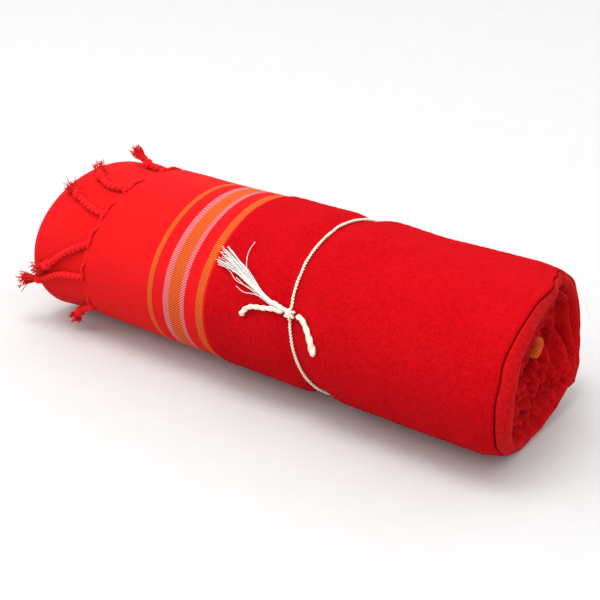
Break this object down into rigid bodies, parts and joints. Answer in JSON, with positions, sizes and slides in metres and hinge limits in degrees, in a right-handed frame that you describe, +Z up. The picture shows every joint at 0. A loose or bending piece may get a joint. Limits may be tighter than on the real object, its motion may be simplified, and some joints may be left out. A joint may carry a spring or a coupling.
{
  "type": "rolled kikoy cloth",
  "caption": "Rolled fringed cotton kikoy with a towelling lining, tied round the middle with a string.",
  "frame": {"origin": "middle of the flat spot that the roll rests on, near its mid length", "axes": "+Z up from the surface it rests on, +X along the roll towards the towelling-covered end, -Y towards the knot's side"},
  "size_m": [0.4669, 0.1764, 0.1421],
  "materials": {
    "kikoy_cotton": "matt woven cotton",
    "towelling": "looped towelling pile",
    "string_cotton": "matt twisted cotton"
  },
  "bodies": {
    "root": {"cloth_roll": "kikoy_cotton", "towelling_panel": "towelling", "fringe": "kikoy_cotton", "tie_band": "string_cotton", "tie_knot": "string_cotton", "tie_end_left": "string_cotton", "tie_end_right": "string_cotton", "tie_tuft": "string_cotton"}
  },
  "joints": []
}
